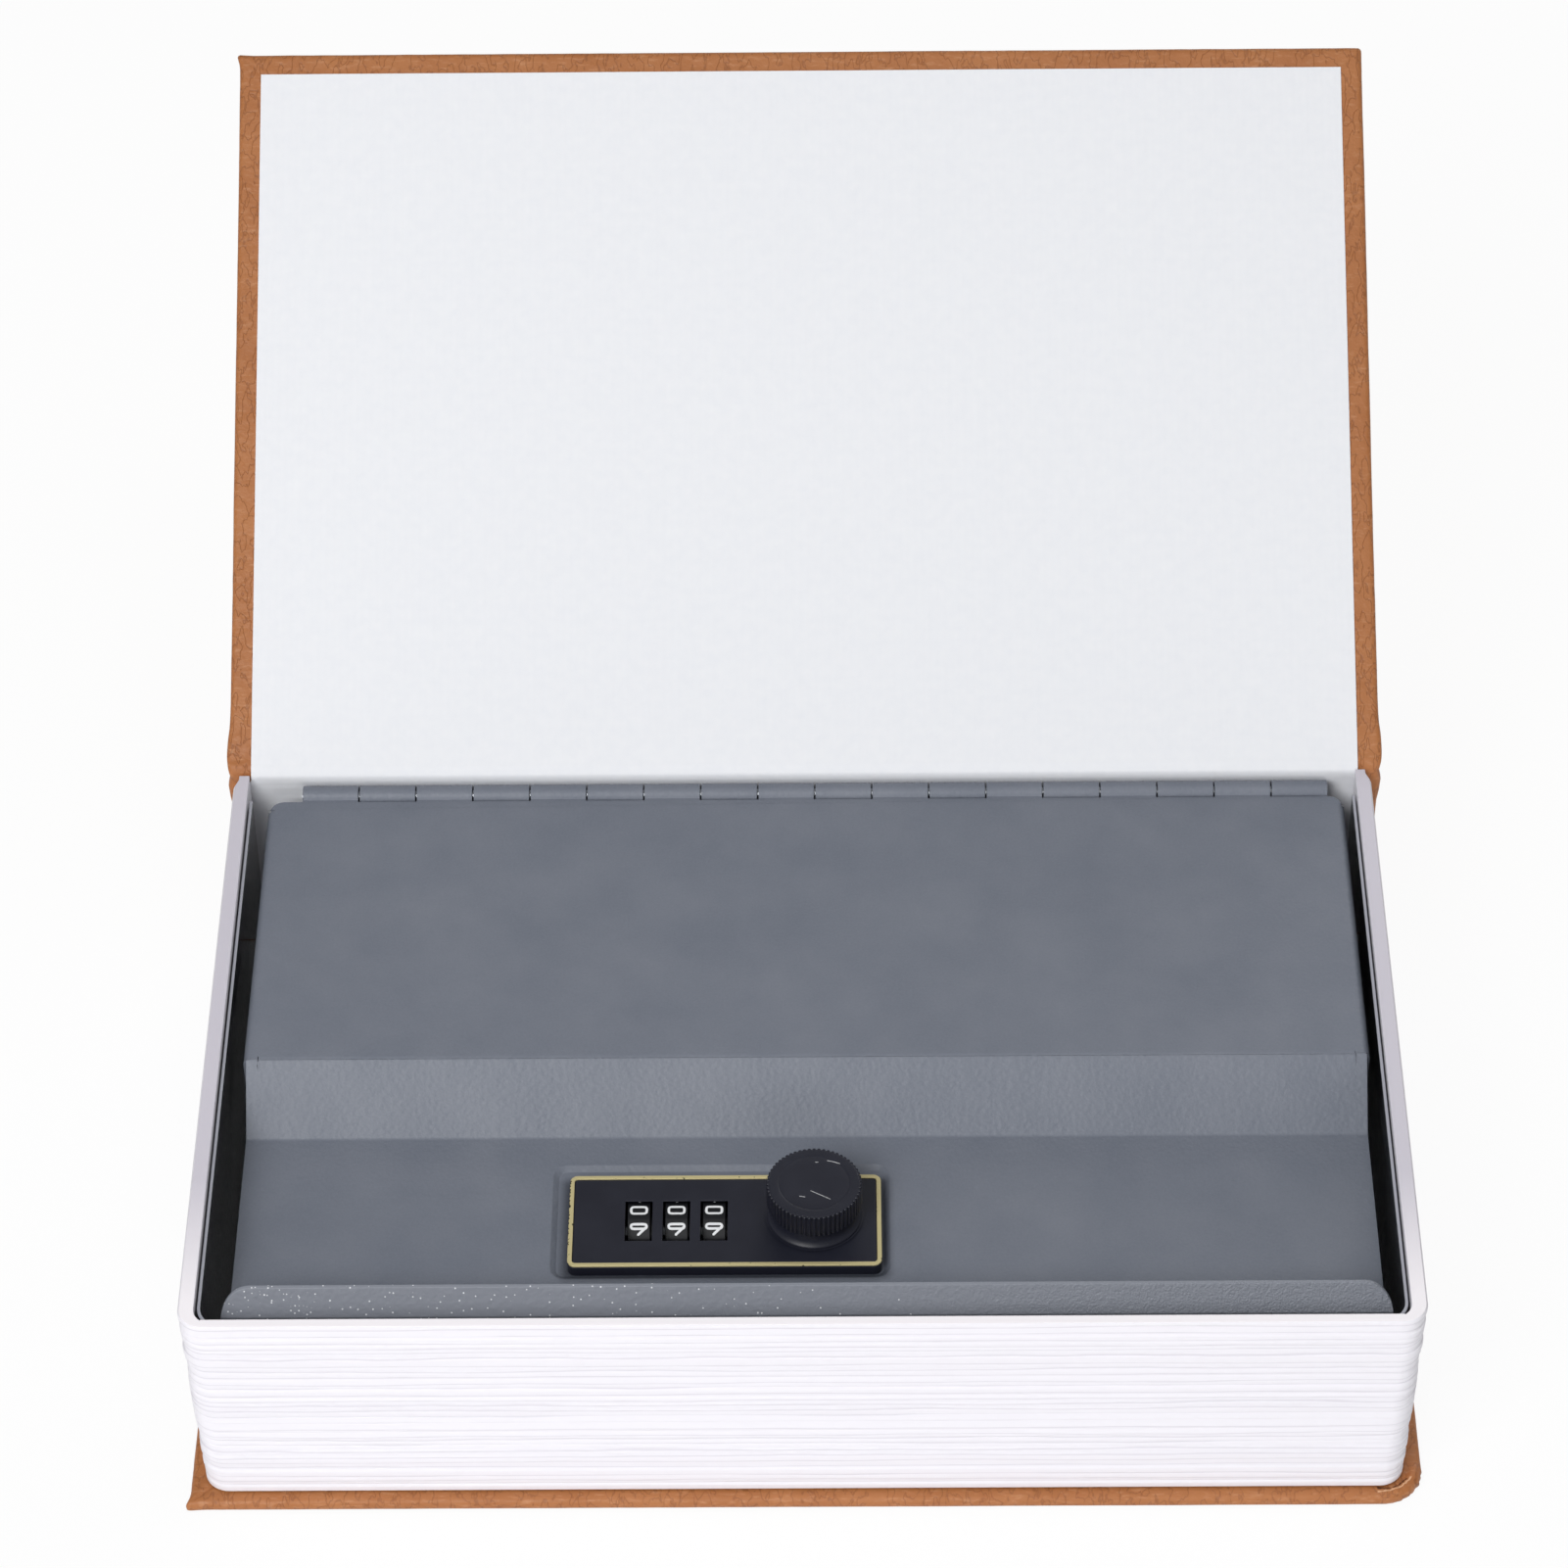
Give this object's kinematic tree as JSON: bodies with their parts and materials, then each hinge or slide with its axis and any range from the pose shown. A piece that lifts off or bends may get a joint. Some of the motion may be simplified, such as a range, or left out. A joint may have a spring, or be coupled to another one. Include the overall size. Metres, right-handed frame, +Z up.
{
  "type": "book diversion safe",
  "caption": "Hollow hardback book in leather cloth whose page block hides a steel box with a hinged, stepped lid, number-wheel lock and latch knob.",
  "frame": {"origin": "middle of the back cover's flat underside, which lies on the table", "axes": "+X along the spine to the reader's right, +Y from the fore-edge to the spine, +Z up, away from the back cover"},
  "size_m": [0.24, 0.2844, 0.1428],
  "materials": {
    "leather_cloth": "satin",
    "case_board": "matte",
    "endpaper": "matte",
    "page_block": "satin",
    "black_liner": "gloss",
    "hammertone_steel": "satin",
    "lock_black": "satin",
    "gilt_edge": "satin",
    "zinc_steel": "satin",
    "turned_brass": "satin",
    "housing_black": "matte"
  },
  "bodies": {
    "case": {"back_and_spine_leather": "leather_cloth", "back_cover_board": "case_board", "spine_board": "case_board", "cover_joint_strip": "leather_cloth", "back_endpaper": "endpaper", "spine_lining": "endpaper", "page_frame": "page_block", "frame_liner": "black_liner", "box_body": "hammertone_steel", "box_hinge_leaf": "hammertone_steel", "hinge_pin": "zinc_steel", "latch_strike": "zinc_steel", "box_screw_1": "zinc_steel", "box_screw_2": "zinc_steel", "box_screw_3": "zinc_steel", "box_screw_4": "zinc_steel"},
    "front_cover": {"front_cover_board": "case_board", "front_cover_leather": "leather_cloth", "front_endpaper": "endpaper"},
    "lid": {"lid": "hammertone_steel", "lock_faceplate": "lock_black", "lock_trim": "gilt_edge", "lock_housing": "housing_black", "lock_back_plate": "zinc_steel", "lock_screw_1": "zinc_steel", "lock_screw_2": "zinc_steel", "wheel_axle": "zinc_steel", "detent_spring": "zinc_steel"},
    "wheel_1": {"number_wheel_1": "lock_black", "wheel_sleeve_1": "turned_brass"},
    "wheel_2": {"number_wheel_2": "lock_black", "wheel_sleeve_2": "turned_brass"},
    "wheel_3": {"number_wheel_3": "lock_black", "wheel_sleeve_3": "turned_brass"},
    "knob": {"knob": "lock_black", "knob_spindle": "zinc_steel", "cam_latch": "zinc_steel", "cam_washer": "zinc_steel", "cam_nut": "turned_brass"},
    "locking_bar": {"locking_bar": "zinc_steel"},
    "change_lever": {"change_lever": "turned_brass"}
  },
  "joints": [
    {"name": "front_cover_hinge", "type": "hinge", "parent": "case", "child": "front_cover", "pos_m": [0, 0.077, 0.052], "axis": [-1, 0, 0], "range_deg": [-144.4, 53]},
    {"name": "lid_hinge", "type": "hinge", "parent": "case", "child": "lid", "pos_m": [0, 0.07295, 0.04785], "axis": [-1, 0, 0], "range_deg": [0, 110]},
    {"name": "wheel_1_spin", "type": "hinge", "parent": "lid", "child": "wheel_1", "pos_m": [-0.0324, -0.03575, 0.03235], "axis": [1, 0, 0], "continuous": true},
    {"name": "wheel_2_spin", "type": "hinge", "parent": "lid", "child": "wheel_2", "pos_m": [-0.02505, -0.03575, 0.03235], "axis": [1, 0, 0], "continuous": true},
    {"name": "wheel_3_spin", "type": "hinge", "parent": "lid", "child": "wheel_3", "pos_m": [-0.0177, -0.03575, 0.03235], "axis": [1, 0, 0], "continuous": true},
    {"name": "knob_turn", "type": "hinge", "parent": "lid", "child": "knob", "pos_m": [0.0019, -0.0376, 0.04], "axis": [0, 0, -1], "range_deg": [0, 90]},
    {"name": "locking_bar_slide", "type": "slide", "parent": "lid", "child": "locking_bar", "axis": [-1, 0, 0], "range_m": [0, 0.00171]},
    {"name": "change_lever_slide", "type": "slide", "parent": "lid", "child": "change_lever", "axis": [1, 0, 0], "range_m": [0, 0.0018]}
  ],
  "couplings": [
    {"joint": "locking_bar_slide", "follows": "knob_turn", "m_per_rad": 0.001082}
  ]
}
